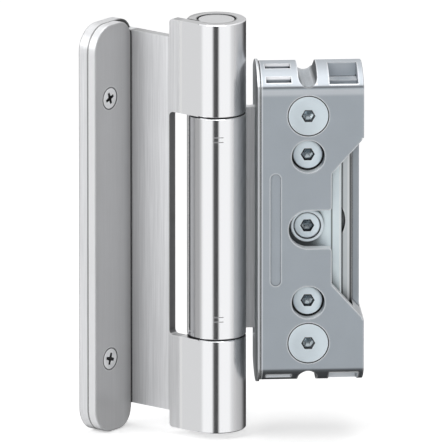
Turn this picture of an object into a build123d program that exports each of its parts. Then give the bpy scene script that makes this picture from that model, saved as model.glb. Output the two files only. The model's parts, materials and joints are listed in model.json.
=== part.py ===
from build123d import *
import math
import os

# Lift-off door hinge with a receiver that adjusts three ways. Millimetres, +Z up.
# The origin is on the receiver's back face, midway between its two fixing screws.
# X runs across the receiver, away from the knuckle. Y runs into the door frame.

# Knuckle and pin
knuckle_length = 160.0
knuckle_radius = 11.25
knuckle_bore = 7.45
seam_height = 43.5
seam_gap = 0.5
rim_chamfer = 0.35
slit_width = 0.7
pin_radius = 6.0
pin_head_radius = 7.15
pin_head_height = 4.0
pin_head_recess = 0.2
bush_seat = 0.02
pin_clearance = 0.05
washer_play = 0.05
washer_radius = 10.6
end_play = 0.2
bush_gap = 8.0
cap_height = 4.0
grub_radius = 2.5
grub_angle = 150.0
grub_socket = 2.5

# Where the knuckle stands from the receiver
pivot_to_screws = 34.1
pivot_to_back = 17.1

# Door leaf, measured outwards from the knuckle along the web
web_angle = 41.7
web_thickness = 3.8
web_shorter = 13.6
web_drop = 0.3
web_reach = 32.2
tab_reach = 14.0
tab_corner = 1.5
window_corner = 1.8
cover_width = 22.3
cover_thickness = 3.2
cover_seam = 0.1
cover_side_gap = 0.3
base_thickness = 4.8
plate_shorter = 0.6
plate_drop = 2.5
free_corner = 10.0
near_corner = 7.0
plate_edge = 0.5
cover_screw_side = 13.2
cover_screw_from_end = 28.6
cover_screw_head = 4.25
cover_screw_rim = 0.25
cover_screw_shank = 1.9
cover_screw_length = 7.2
cross_width = 1.0
cross_length = 4.6
cross_depth = 1.5
fixing_hole = 3.25
fixing_sink = 6.0
fixing_holes_from_end = (13.7, 49.7)

# Receiver housing
receiver_depth = 30.0
receiver_left = 18.1
receiver_right = 21.2
arch_behind_front = 16.0
arch_radius = 23.3
arch_centre_height = 38.6
bend_radius = 3.0
front_wall = 4.5
back_sheet = 1.6
side_wall = 3.0
side_inset = 0.7
side_front = 13.5
waist_edge = 8.9
waist_wall = 0.45
waist_end_inside_arch = 3.1
waist_corner = 1.2
notch_radius = 7.5
cavity_wall = 2.0
mouth_play = 1.25
mouth_step = 8.8
bead_x = -12.4
bead_width = 4.0
bead_beyond_waist = 0.2
bead_depth = 0.5
rim_edge = 0.4

# Screw rows of the receiver
fixing_beyond_arch = 5.9
fixing_head_radius = 7.65
fixing_head_height = 3.5
fixing_shank = 4.2
fixing_stud = 4.0
fixing_stud_length = 9.0
pressure_inside_arch = 10.0
pressure_head_radius = 5.6
pressure_head_height = 4.0
pressure_head_recess = 3.8
pressure_hole = 6.35
pressure_collar_radius = 7.0
pressure_collar_height = 1.6
pressure_shank = 3.5
clamp_head_radius = 5.1
clamp_head_height = 2.5
clamp_shank = 3.0
washer_outer = 6.35
washer_height = 1.2
hex_across = 4.4
hex_depth = 2.6

# Grooves, slots and pockets in the arched ends
groove_radius = 3.6
groove_depth = 6.4
slot_left = -15.9
slot_right = -6.3
slot_depth = 1.4
slot_widths = (2.8, 4.2)
slot_places = (1.9, 9.4)
pocket_left = 8.1
pocket_right = 19.1
pocket_front = 1.2
pocket_back = 14.2
pocket_depth = 5.5
pocket_low_depth = 7.9
pocket_step = 8.0

# Face plate
face_thickness = 1.0
face_gap = 0.1
face_arch_radius = 20.5
face_arch_beyond = 3.6
face_slot_play = 0.75
face_slot_corner = 1.0

# Tongue and the three slides
tongue_thickness = 4.0
slide_lip = 3.3
tongue_step = -12.5
tongue_tip = 12.8
side_travel = 3.0
height_travel = 3.0
pressure_forward = 2.0
pressure_back = 1.4
slide_clearance = 0.3
back_clearance = 0.2
carriage_end = 2.8
carriage_left = -8.3
slide_left = -8.0
clamp_plate_right = 13.3
clamp_plate_thickness = 2.6
slide_front_thickness = 6.55
scallop_radius = 10.6
scallop_x = 4.4
scallop_depth = 1.5
screw_clearance = 0.3
thread_clearance = 0.06

# Sizes that follow
half_length = knuckle_length / 2
pivot_x = -pivot_to_screws
pivot_y = -pivot_to_back
door_knuckle_low = seam_height + seam_gap / 2
frame_knuckle_half = seam_height - seam_gap / 2
web_back = knuckle_radius - web_thickness
plate_free_edge = knuckle_radius + cover_width
web_height = knuckle_length - web_shorter
plate_height = knuckle_length - plate_shorter
plate_half = plate_height / 2
cover_screw_height = plate_half - cover_screw_from_end
base_front = web_reach + cover_thickness + cover_seam
leaf_reach = base_front + base_thickness
cover_screw_y = knuckle_radius + cover_screw_side
plate_middle = knuckle_radius + cover_width / 2
front_y = -receiver_depth
wall_back_y = front_y + front_wall
arch_y = front_y + arch_behind_front
arch_peak = arch_centre_height + arch_radius
fixing_height = arch_centre_height + fixing_beyond_arch
pressure_height = arch_centre_height - pressure_inside_arch
waist_height = pressure_height - pressure_hole - waist_wall
waist_end_height = arch_centre_height - waist_end_inside_arch
cavity_height = fixing_height - fixing_shank - screw_clearance - cavity_wall
mouth_height = frame_knuckle_half + height_travel + mouth_play
face_arch_centre = arch_centre_height + face_arch_beyond
face_slot_half = frame_knuckle_half + height_travel + face_slot_play
groove_floor = arch_peak - groove_depth
pocket_floor = arch_peak - pocket_depth
pocket_low_floor = arch_peak - pocket_low_depth
side_outer = receiver_right - side_inset
cavity_right = side_outer - side_wall
tongue_back = pivot_y + knuckle_radius
tongue_front = tongue_back - tongue_thickness
floor_front = tongue_back + slide_clearance
floor_back = -back_sheet - pressure_back - back_clearance
slide_back = tongue_front - slide_clearance
slide_front = slide_back - slide_front_thickness
clamp_plate_back = slide_front - back_clearance
clamp_plate_front = clamp_plate_back - clamp_plate_thickness
washer_front = clamp_plate_front - washer_height
carriage_half = cavity_height - slide_clearance
carriage_inner = carriage_half - carriage_end
slide_half = carriage_inner - slide_clearance - height_travel
tongue_half_height = slide_half - slide_lip - slide_clearance
carriage_right = cavity_right - slide_clearance - 0.1


def block(x0, x1, y0, y1, z0, z1):
    """A box between two corners."""
    middle = Pos((x0 + x1) / 2, (y0 + y1) / 2, (z0 + z1) / 2)
    return middle * Box(x1 - x0, y1 - y0, z1 - z0)


def upright(radius, low, high):
    """A round bar along Z on the local axis."""
    return Pos(0, 0, (low + high) / 2) * Cylinder(radius, high - low)


def bar(radius, y0, y1, x=0.0, z=0.0):
    """A round bar along Y."""
    return Pos(x, (y0 + y1) / 2, z) * Rot(90, 0, 0) * Cylinder(radius, y1 - y0)


def both_ends(piece):
    """The piece and its mirror image below mid height."""
    return piece + mirror(piece, Plane.XY)


def at_pivot(piece, angle=0.0):
    """Place a piece made round the hinge axis."""
    return Pos(pivot_x, pivot_y, 0) * Rot(0, 0, angle) * piece


def on_door(piece):
    """Place a piece made along the web: local X outwards, local Y its front."""
    return at_pivot(piece, 180 - web_angle)


def sunk(outline, y_face, depth):
    """A front-view outline carried back along Y from the face at y_face."""
    return Pos(0, y_face, 0) * extrude(Plane.XZ * outline, depth, dir=(0, 1, 0))


def hex_socket(depth, x, y_face, z):
    """A hexagon socket sunk along Y from a screw's face."""
    outline = RegularPolygon(hex_across / 2, 6, major_radius=False)
    return sunk(Pos(x, z) * outline, y_face, depth)


def tube(outer, inner, low, high):
    """A sleeve along Z on the local axis."""
    return upright(outer, low, high) - upright(inner, low - 1, high + 1)


def knuckle(low, high):
    """One length of knuckle with broken rims."""
    body = upright(knuckle_radius, low, high)
    return chamfer(body.edges().filter_by(GeomType.CIRCLE), rim_chamfer)


def end_plate(x0, thickness, near_y, edge_of_face):
    """A long plate across the web's end, rounded at its corners."""
    width = plate_free_edge - near_y
    sheet = Pos((plate_free_edge + near_y) / 2, -plate_drop) * Rectangle(width, plate_height)
    sheet = fillet(sheet.vertices().group_by(Axis.X)[-1], free_corner)
    sheet = fillet(sheet.vertices().group_by(Axis.X)[0], near_corner)
    plate = extrude(Plane.YZ.offset(x0) * sheet, thickness)
    face = plate.faces().sort_by(Axis.X)[edge_of_face]
    return fillet(face.edges(), plate_edge)


def both_plate_ends(piece):
    """The piece and its mirror image, from the end plates' own middle."""
    return Pos(0, 0, -plate_drop) * both_ends(piece)


def sink(x_face, y, z, hole, head):
    """A countersunk hole along local X, its head at x_face."""
    depth = head - hole
    cone = Pos(x_face + depth / 2, y, z) * Rot(0, 90, 0) * Cone(head, hole, depth)
    through = Pos(x_face + base_thickness, y, z) * Rot(0, 90, 0) * Cylinder(hole, 3 * base_thickness)
    return cone + through


def door_leaf():
    web = block(0, leaf_reach - base_thickness / 2, web_back, knuckle_radius,
                -web_height / 2 - web_drop, web_height / 2 - web_drop)
    tabs = block(0, tab_reach, web_back, knuckle_radius, -half_length, half_length)
    tabs = fillet(tabs.edges().filter_by(Axis.Y).group_by(Axis.X)[-1], tab_corner)
    base = end_plate(base_front, base_thickness, web_back, -1)
    window = block(-2 * knuckle_radius, tab_reach, -2 * knuckle_radius, 2 * knuckle_radius,
                   -door_knuckle_low, door_knuckle_low)
    window = fillet(window.edges().filter_by(Axis.Y).group_by(Axis.X)[-1], window_corner)
    leaf = web + tabs - window + base
    leaf += both_ends(knuckle(door_knuckle_low, half_length))
    leaf -= upright(knuckle_bore, -half_length - 1, half_length + 1)
    slit_end = math.sqrt(knuckle_radius ** 2 - web_back ** 2) + 0.5
    leaf -= block(0, slit_end, web_back - slit_width, web_back, -half_length - 1, half_length + 1)
    for distance in fixing_holes_from_end:
        hole = sink(base_front, plate_middle, plate_half - distance, fixing_hole, fixing_sink)
        leaf -= both_plate_ends(hole)
    thread = Pos(base_front, cover_screw_y, cover_screw_height) * Rot(0, 90, 0)
    thread *= Cylinder(cover_screw_shank + thread_clearance, 2 * base_thickness + 1)
    leaf -= both_plate_ends(thread)
    return on_door(leaf)


def cover_plate():
    plate = end_plate(web_reach, cover_thickness, knuckle_radius + cover_side_gap, 0)
    hole = sink(web_reach, cover_screw_y, cover_screw_height,
                cover_screw_shank + screw_clearance, cover_screw_head + thread_clearance)
    hole += (Pos(web_reach, cover_screw_y, cover_screw_height) * Rot(0, 90, 0)
             * Cylinder(cover_screw_head + cover_screw_rim, 2 * cover_screw_rim))
    return on_door(plate - both_plate_ends(hole))


def cover_screw(side):
    head_depth = cover_screw_head - cover_screw_shank
    head = Pos(head_depth / 2, 0, 0) * Rot(0, 90, 0) * Cone(cover_screw_head, cover_screw_shank, head_depth)
    shank = Pos(cover_screw_length / 2, 0, 0) * Rot(0, 90, 0)
    shank *= Cylinder(cover_screw_shank, cover_screw_length)
    cross = Box(2 * cross_depth, cross_length, cross_width) + Box(2 * cross_depth, cross_width, cross_length)
    screw = head + shank - cross
    return on_door(Pos(web_reach, cover_screw_y, side * cover_screw_height - plate_drop) * screw)


def hinge_pin():
    head_top = half_length - pin_head_recess
    head_low = head_top - pin_head_height
    head = upright(pin_head_radius, head_low, head_top)
    head = chamfer(head.edges().group_by(Axis.Z)[-1], rim_chamfer)
    shaft = upright(pin_radius, -half_length + cap_height + end_play, head_low)
    shaft = chamfer(shaft.edges().group_by(Axis.Z)[0], 2 * rim_chamfer)
    return at_pivot(head + shaft)


def bush(low, high):
    return at_pivot(tube(knuckle_bore - bush_seat, pin_radius + pin_clearance, low, high))


def thrust_washer(low):
    height = seam_gap - 2 * washer_play
    return at_pivot(tube(washer_radius, pin_radius + 6 * pin_clearance, low, low + height))


def knuckle_cap():
    cap = upright(knuckle_bore - bush_seat, -half_length, -half_length + cap_height)
    cap = chamfer(cap.edges().group_by(Axis.Z)[0], rim_chamfer)
    return at_pivot(cap)


def grub_place():
    return Pos(pivot_x, pivot_y, 0) * Rot(0, 0, grub_angle) * Rot(0, 90, 0)


def pin_set_screw():
    inner = pin_radius + screw_clearance
    outer = knuckle_radius - screw_clearance
    body = upright(grub_radius, inner, outer)
    socket = RegularPolygon(grub_socket / 2, 6, major_radius=False)
    body -= Pos(0, 0, outer) * extrude(socket, -grub_socket)
    return grub_place() * body


def frame_leaf():
    half = frame_knuckle_half
    leaf = at_pivot(knuckle(-half, half))
    root = block(pivot_x, tongue_step, tongue_front, tongue_back, -half, half)
    root = fillet(root.edges().filter_by(Axis.Y).group_by(Axis.X)[-1], tab_corner)
    tongue = block(pivot_x, tongue_tip, tongue_front, tongue_back, -tongue_half_height, tongue_half_height)
    tongue = fillet(tongue.edges().filter_by(Axis.Y).group_by(Axis.X)[-1], tab_corner)
    leaf += root + tongue
    room_x = clamp_shank + screw_clearance + side_travel
    room_z = clamp_shank + screw_clearance + height_travel
    opening = block(-room_x, room_x, tongue_front - 1, tongue_back + 1, -room_z, room_z)
    leaf -= fillet(opening.edges().filter_by(Axis.Y), clamp_shank)
    leaf -= at_pivot(upright(knuckle_bore, -half - 1, half + 1))
    slit_end = math.sqrt(knuckle_radius ** 2 - (knuckle_radius - tongue_thickness) ** 2)
    slit = block(0, slit_end + 0.5, -slit_width, 0, -half - 1, half + 1)
    leaf -= Pos(pivot_x, tongue_front, 0) * slit
    grub_hole = upright(grub_radius + thread_clearance, 0, knuckle_radius + 1)
    return leaf - grub_place() * grub_hole


def height_slide():
    body = block(slide_left, carriage_right, slide_front, slide_back, -slide_half, slide_half)
    lip = block(slide_left, carriage_right, slide_back, tongue_back,
                tongue_half_height + slide_clearance, slide_half)
    body += both_ends(lip)
    half_slot = clamp_shank + screw_clearance
    slot = block(-half_slot, half_slot, slide_front - 1, slide_back + 1, -height_travel, height_travel)
    slot += both_ends(bar(half_slot, slide_front - 1, slide_back + 1, 0, height_travel))
    half_fork = pressure_shank + screw_clearance
    fork_low = pressure_height - height_travel
    fork = block(-half_fork, half_fork, slide_front - 1, slide_back, fork_low, slide_half + 1)
    fork += bar(half_fork, slide_front - 1, slide_back, 0, fork_low)
    scallop = bar(scallop_radius, slide_front - 1, slide_front + scallop_depth, scallop_x, 0)
    return body - slot - both_ends(fork) - scallop


def pressure_carriage():
    floor = block(carriage_left, carriage_right, floor_front, floor_back, -carriage_half, carriage_half)
    end = block(carriage_left, carriage_right, clamp_plate_back, floor_back, carriage_inner, carriage_half)
    body = floor + both_ends(end)
    return body - bar(clamp_shank + thread_clearance, floor_front - 1, floor_back + 1)


def clamp_plate():
    plate = block(carriage_left, clamp_plate_right, clamp_plate_front, clamp_plate_back,
                  -carriage_half, carriage_half)
    front = plate.faces().sort_by(Axis.Y)[0]
    plate = chamfer(front.edges().sort_by(Axis.X)[-1], plate_edge)
    plate -= bar(clamp_shank + thread_clearance, clamp_plate_front - 1, clamp_plate_back + 1)
    thread = bar(pressure_shank + thread_clearance, clamp_plate_front - 1, clamp_plate_back + 1,
                 0, pressure_height)
    return plate - both_ends(thread)


def clamp_washer():
    ring = bar(washer_outer, washer_front, clamp_plate_front)
    ring = chamfer(ring.edges().group_by(Axis.Y)[0], rim_chamfer)
    return ring - bar(clamp_shank + thread_clearance, washer_front - 1, clamp_plate_front + 1)


def clamp_screw():
    face = washer_front - clamp_head_height
    head = bar(clamp_head_radius, face, washer_front)
    head = chamfer(head.edges().group_by(Axis.Y)[0], rim_chamfer)
    shank = bar(clamp_shank, washer_front, floor_back)
    return head + shank - hex_socket(hex_depth, 0, face, 0)


def pressure_screw(side):
    z = side * pressure_height
    face = front_y + pressure_head_recess
    head_back = face + pressure_head_height
    head = bar(pressure_head_radius, face, head_back, 0, z)
    head = chamfer(head.edges().group_by(Axis.Y)[0], rim_chamfer)
    collar_front = wall_back_y + back_clearance / 2
    collar = bar(pressure_collar_radius, collar_front, collar_front + pressure_collar_height, 0, z)
    tip = tongue_front - pressure_forward - slide_clearance
    shank = bar(pressure_shank, head_back, tip, 0, z)
    return head + collar + shank - hex_socket(hex_depth, 0, face, z)


def fixing_screw(side):
    z = side * fixing_height
    head_back = front_y + fixing_head_height
    head = bar(fixing_head_radius, front_y, head_back, 0, z)
    head = chamfer(head.edges().group_by(Axis.Y)[0], rim_chamfer)
    shank = bar(fixing_shank, head_back, 0, 0, z)
    stud = bar(fixing_stud, 0, fixing_stud_length, 0, z)
    stud = chamfer(stud.edges().group_by(Axis.Y)[-1], 2 * rim_chamfer)
    return head + shank + stud - hex_socket(hex_depth, 0, front_y, z)


def arch_height(y, radius, centre):
    """Height of an arched end above mid height, at the depth y."""
    return centre + math.sqrt(radius ** 2 - (y - arch_y) ** 2)


def arched_outline(radius, centre, y0, y1, bend):
    """Side view of the receiver: straight front and back, arched ends."""
    front = arch_height(y0, radius, centre)
    back = arch_height(y1, radius, centre)
    peak = centre + radius
    wire = Line((y0, -front), (y0, front))
    wire += ThreePointArc((y0, front), (arch_y, peak), (y1, back))
    wire += Line((y1, back), (y1, -back))
    wire += ThreePointArc((y1, -back), (arch_y, -peak), (y0, -front))
    outline = make_face(wire)
    return fillet(outline.vertices().group_by(Axis.X)[0], bend)


def receiver_blank(y1):
    """The solid form of the receiver, from its front back to y1."""
    outline = arched_outline(arch_radius, arch_centre_height, front_y, y1, bend_radius)
    body = extrude(Plane.YZ.offset(-receiver_left) * outline, receiver_left + receiver_right)
    ends = body.faces().filter_by(Axis.X)
    return fillet(ends[-1].edges() + ends[0].edges(), rim_edge)


def waist_cut():
    """The space at the right of the front wall, behind which the slides show."""
    beyond = receiver_right + 5
    slope = (waist_end_height - waist_height) / (receiver_right - waist_edge)
    end_height = waist_height + slope * (beyond - waist_edge)
    outline = Polygon((waist_edge, waist_height), (beyond, end_height), (beyond, -end_height),
                      (waist_edge, -waist_height), align=None)
    outline = fillet(outline.vertices().group_by(Axis.X)[0], waist_corner)
    return sunk(outline, front_y, receiver_depth - side_front)


def notch_cut():
    """The round-ended notch round the clamp screw, open to the waist."""
    outline = Circle(notch_radius)
    outline += Pos(waist_edge / 2 + 0.5, 0) * Rectangle(waist_edge + 1, 2 * notch_radius)
    flare = Pos(waist_edge, 0) * Rectangle(2 * waist_corner, 2 * (notch_radius + waist_corner))
    for side in (1, -1):
        flare -= Pos(waist_edge - waist_corner, side * (notch_radius + waist_corner)) * Circle(waist_corner)
    return sunk(outline + flare, front_y, front_wall)


def bead_cut():
    """The shallow upright groove pressed in the front wall."""
    outline = Pos(bead_x, 0) * SlotOverall(2 * (waist_height + bead_beyond_waist), bead_width, rotation=90)
    return sunk(outline, front_y, bead_depth)


def groove_cut():
    """The round-bottomed groove across the top end, from front to back."""
    groove_axis = groove_floor + groove_radius
    groove = bar(groove_radius, front_y - 1, 1, 0, groove_axis)
    return groove + block(-groove_radius, groove_radius, front_y - 1, 1, groove_axis, arch_peak + 1)


def end_cuts():
    """The groove, slots and pocket of the top end."""
    top = arch_peak + 1
    cuts = groove_cut()
    for place, width in zip(slot_places, slot_widths):
        y0 = front_y + place
        floor = arch_height(y0 + width / 2, arch_radius, arch_centre_height) - slot_depth
        cuts += block(slot_left, slot_right, y0, y0 + width, floor, top)
    deep = block(pocket_left, pocket_right, front_y + pocket_front, front_y + pocket_step,
                 pocket_low_floor, top)
    shallow = block(pocket_left, pocket_right, front_y + pocket_front, front_y + pocket_back,
                    pocket_floor, top)
    return cuts + deep + shallow


def receiver_housing():
    body = receiver_blank(-back_sheet)
    inset = block(side_outer, receiver_right + 1, front_y - 1, 1, -waist_end_height, waist_end_height)
    cavity = block(-mouth_step, cavity_right, wall_back_y, 1, -cavity_height, cavity_height)
    mouth = block(-receiver_left - 1, -mouth_step, wall_back_y, 1, -mouth_height, mouth_height)
    body = body - inset - cavity - mouth - waist_cut() - notch_cut() - bead_cut()
    pressure_hole_bar = bar(pressure_hole, front_y - 1, wall_back_y + 1, 0, pressure_height)
    seat = bar(fixing_head_radius + screw_clearance, front_y - 1, front_y + fixing_head_height,
               0, fixing_height)
    bore = bar(fixing_shank + screw_clearance, front_y, 1, 0, fixing_height)
    return body - both_ends(pressure_hole_bar + seat + bore) - both_ends(end_cuts())


def back_cover():
    height = arch_height(0, arch_radius, arch_centre_height) - rim_edge
    sheet = block(-receiver_left + rim_edge, receiver_right - rim_edge, -back_sheet, 0, -height, height)
    sheet = fillet(sheet.edges().filter_by(Axis.Y), bend_radius)
    bore = bar(fixing_shank + screw_clearance, -back_sheet - 1, 1, 0, fixing_height)
    return sheet - both_ends(bore + groove_cut())


def face_plate():
    outline = arched_outline(face_arch_radius, face_arch_centre, front_y, 0, bend_radius)
    slot_front = tongue_front - pressure_forward - slide_clearance
    slot_back = tongue_back + pressure_back + slide_clearance
    slot = Pos((slot_front + slot_back) / 2, 0) * Rectangle(slot_back - slot_front, 2 * face_slot_half)
    outline -= fillet(slot.vertices(), face_slot_corner)
    return extrude(Plane.YZ.offset(-receiver_left - face_gap) * outline, -face_thickness)


bush_low = door_knuckle_low + washer_play
bush_high = half_length - pin_head_recess - pin_head_height - washer_play

nodes = {
    "door_leaf": door_leaf(),
    "cover_plate": cover_plate(),
    "cover_screw_top": cover_screw(1),
    "cover_screw_bottom": cover_screw(-1),
    "hinge_pin": hinge_pin(),
    "bush_top": bush(bush_low, bush_high),
    "bush_bottom": bush(-half_length + cap_height, -bush_low),
    "bush_middle_top": bush(bush_gap, frame_knuckle_half),
    "bush_middle_bottom": bush(-frame_knuckle_half, -bush_gap),
    "thrust_washer_top": thrust_washer(frame_knuckle_half + washer_play),
    "thrust_washer_bottom": thrust_washer(-door_knuckle_low + washer_play),
    "knuckle_cap": knuckle_cap(),
    "pin_set_screw": pin_set_screw(),
    "frame_leaf": frame_leaf(),
    "height_slide": height_slide(),
    "pressure_carriage": pressure_carriage(),
    "clamp_plate": clamp_plate(),
    "clamp_washer": clamp_washer(),
    "clamp_screw": clamp_screw(),
    "receiver_housing": receiver_housing(),
    "back_cover": back_cover(),
    "face_plate": face_plate(),
    "fixing_screw_top": fixing_screw(1),
    "fixing_screw_bottom": fixing_screw(-1),
    "pressure_screw_top": pressure_screw(1),
    "pressure_screw_bottom": pressure_screw(-1),
}

os.makedirs("parts", exist_ok=True)
for name, shape in nodes.items():
    export_step(shape, "parts/" + name + ".step")
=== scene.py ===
import json
import math

import bmesh
import bpy
from bpy.props import FloatProperty, FloatVectorProperty, IntProperty, PointerProperty
from mathutils import Matrix, Vector


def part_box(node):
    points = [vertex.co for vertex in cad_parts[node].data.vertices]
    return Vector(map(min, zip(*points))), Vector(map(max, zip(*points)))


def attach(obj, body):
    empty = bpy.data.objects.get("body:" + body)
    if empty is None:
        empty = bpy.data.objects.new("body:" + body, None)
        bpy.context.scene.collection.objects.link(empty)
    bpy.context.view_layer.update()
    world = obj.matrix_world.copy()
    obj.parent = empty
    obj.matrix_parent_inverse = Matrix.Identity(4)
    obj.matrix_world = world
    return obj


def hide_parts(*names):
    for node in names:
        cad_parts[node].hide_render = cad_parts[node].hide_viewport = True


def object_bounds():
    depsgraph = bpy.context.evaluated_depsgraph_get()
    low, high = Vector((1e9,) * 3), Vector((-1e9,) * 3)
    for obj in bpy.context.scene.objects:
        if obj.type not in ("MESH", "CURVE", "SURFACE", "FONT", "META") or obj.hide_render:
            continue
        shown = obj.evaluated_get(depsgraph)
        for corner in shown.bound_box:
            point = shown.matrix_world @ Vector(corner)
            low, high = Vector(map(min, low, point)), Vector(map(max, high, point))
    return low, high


bl_info = {
    "name": "Lift-off Hinge",
    "version": (1, 0, 0),
    "blender": (4, 5, 0),
    "location": "View3D > Sidebar > Hinge",
    "description": "Finishes, screws and studio of a heavy lift-off door hinge with its frame receiver",
    "category": "Object",
}

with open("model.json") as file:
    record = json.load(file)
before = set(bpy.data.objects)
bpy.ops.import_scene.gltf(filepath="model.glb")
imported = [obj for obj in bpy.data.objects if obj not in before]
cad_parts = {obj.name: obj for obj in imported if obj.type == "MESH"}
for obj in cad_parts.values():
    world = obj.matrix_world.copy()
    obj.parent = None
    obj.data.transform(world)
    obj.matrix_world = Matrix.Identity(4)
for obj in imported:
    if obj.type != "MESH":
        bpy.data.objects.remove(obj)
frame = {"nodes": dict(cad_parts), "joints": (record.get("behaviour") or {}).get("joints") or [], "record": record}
cad_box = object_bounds()
NODES = frame["nodes"]
SWING = next(joint for joint in frame["joints"] if joint["name"] == "door_swing")
PIVOT = Vector(SWING["pos_m"][:2] + [0.0])
DOOR_FACE = next(mount for mount in frame["record"]["mounts"] if mount["name"] == "door_face")
DOOR_TURN = math.atan2(DOOR_FACE["axis"][1], DOOR_FACE["axis"][0])

# Colours that are laid over the finishes. Most stand for painted light and shade: the white, pale and light ones
# for painted highlights, light and reflections, the grey to black ones for painted shade and shadow.
WHITE = (1.0, 1.0, 1.0, 1.0)
HIGHLIGHT = (0.95, 0.96, 0.97, 1.0)
COOL_HIGHLIGHT = (0.9, 0.92, 0.95, 1.0)
PALE_LIGHT = (0.85, 0.88, 0.92, 1.0)
RECESS_SHADE = (0.1, 0.11, 0.12, 1.0)
SHADOW = (0.05, 0.05, 0.05, 1.0)
COOL_SHADOW = (0.05, 0.055, 0.06, 1.0)
DARK_SHADE = (0.02, 0.022, 0.026, 1.0)
DEEP_SHADE = (0.006, 0.006, 0.008, 1.0)
BLACK = (0.0, 0.0, 0.0, 1.0)

# Directions that a surface may face
LEFT, RIGHT, FORWARD = (-1.0, 0.0, 0.0), (1.0, 0.0, 0.0), (0.0, -1.0, 0.0)
UP, DOWN = (0.0, 0.0, 1.0), (0.0, 0.0, -1.0)

# Factors that draw a noise out into upright marks
UPRIGHT = (1.0, 1.0, 0.02)

# A step too small to see: the first one inside a recess's mouth, and how far a thread's foot is sunk
LIP = 0.00002

# What polished steel mirrors, by bearing: (share of a turn, brightness). The camera's side is at 0.5,
# and the shares above it are to its right.
STUDIO_WALL = (
    (0.0, 0.05), (0.05, 0.07), (0.09, 0.74), (0.322, 0.72), (0.355, 1.0), (0.452, 1.0), (0.472, 0.1),
    (0.515, 0.05), (0.532, 1.0), (0.64, 1.0), (0.672, 0.76), (0.714, 0.61), (0.758, 0.51), (0.811, 0.46),
    (0.832, 0.4), (0.852, 0.02), (1.0, 0.02),
)


def length(label, description, default):
    """A length property in metres."""
    return FloatProperty(name=label, description=description, default=default, unit="LENGTH",
                         subtype="DISTANCE", precision=5)


def colour(label, description, default):
    """A linear colour property."""
    return FloatVectorProperty(name=label, description=description, default=default, size=3,
                               min=0.0, max=1.0, subtype="COLOR")


def share(label, description, default):
    """A property between none and all."""
    return FloatProperty(name=label, description=description, default=default, min=0.0, max=1.0,
                         subtype="FACTOR")


def angle(label, description, degrees):
    """An angle property."""
    return FloatProperty(name=label, description=description, default=math.radians(degrees),
                         unit="ROTATION", subtype="ANGLE")


class StudioSettings(bpy.types.PropertyGroup):
    """Camera, lamps and floor."""
    azimuth: angle("Azimuth", "Camera's place to the left of the front", 3.7)
    elevation: angle("Elevation", "Camera's place above the horizon", 14.5)
    distance: length("Distance", "From the camera to the middle of the picture", 8.0)
    picture_width: length("Picture width", "Width that the picture shows at that distance", 0.1683)
    target: FloatVectorProperty(name="Target", description="The middle of the picture", size=3,
                                default=(-0.0322, -0.0172, 0.0005), unit="LENGTH", subtype="TRANSLATION")
    floor_colour: colour("Floor", "Colour of the floor", (0.86, 0.86, 0.86))
    floor_gap: length("Floor gap", "Room between the hinge and the floor", 0.0003)
    floor_reach: length("Floor reach", "From the floor's middle to its sides", 4.0)
    floor_glow: share("Floor glow", "How much the camera sees the floor whitened", 0.4)
    sky_strength: share("Sky", "Strength of the even light from all round", 0.45)
    key_power: FloatProperty(name="Key lamp", description="Power of the lamp at the upper left",
                             default=6.5, min=0.0, unit="POWER")
    fill_power: FloatProperty(name="Fill lamp", description="Power of the lamp beside the camera",
                              default=5.5, min=0.0, unit="POWER")
    top_power: FloatProperty(name="Top lamp", description="Power of the lamp overhead",
                             default=6.0, min=0.0, unit="POWER")


class SteelFinish(bpy.types.PropertyGroup):
    """The leaves, the pin and their small parts."""
    polished: colour("Polished steel", "Colour of the turned and polished knuckles", (0.90, 0.905, 0.92))
    brushed: colour("Brushed steel", "Colour of the brushed web and plates", (0.80, 0.805, 0.82))
    screw_steel: colour("Screw steel", "Colour of the cover screws", (0.76, 0.765, 0.779))
    polished_roughness: share("Polished roughness", "Roughness of the knuckles", 0.13)
    brushed_roughness: share("Brushed roughness", "Roughness of the web and plates", 0.34)
    tongue_roughness: share("Tongue roughness", "Roughness of the frame leaf's brushed tongue", 0.6)
    pin_roughness: share("Pin roughness", "Roughness of the pin and the lower cap", 0.24)
    screw_roughness: share("Screw roughness", "Roughness of the small steel screws", 0.32)
    polish_edge: length("Polish edge", "From the hinge axis to the end of the polish", 0.0091)
    tongue_edge: length("Tongue edge", "From the hinge axis to the brushed tongue", 0.01128)
    tab_edge: length("Tab edge", "From the hinge axis to the end of the tabs", 0.0145)
    # Where a painted dark reflection band runs down the middle knuckle
    reflection_line: length("Dark line", "From the hinge axis to the middle knuckle's dark line", 0.0079)
    side_blur: length("Side blur", "Where the knuckles' right side turns duller", 0.0045)
    knuckle_end: length("Knuckle end", "Height from which a surface is a knuckle's end", 0.0795)
    tick_height: length("Tick height", "Height of the index ticks above mid height", 0.0352)
    cover_front: length("Cover front", "From the hinge axis to the cover plate's face", 0.0322)
    plate_back: length("Plate back", "From the hinge axis to the base plate's back", 0.0403)
    bore_edge: length("Bore edge", "Radius of the gap round the pin's head", 0.0076)
    base_front: length("Base front", "From the hinge axis to the seam behind the cover plate", 0.0357)
    # Painted shade: how dark the cover plate's face is painted against its edges
    cover_tone: share("Cover tone", "How light the brushed face of the cover plate is", 0.655)
    cover_near: length("Cover shade", "End of the shade along the cover plate's inner side", 0.0115)
    pin_rim: length("Pin rim", "Radius at which the pin's head turns dark", 0.0067)
    grain: length("Grain", "Width of a brush mark", 0.0003)


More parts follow.
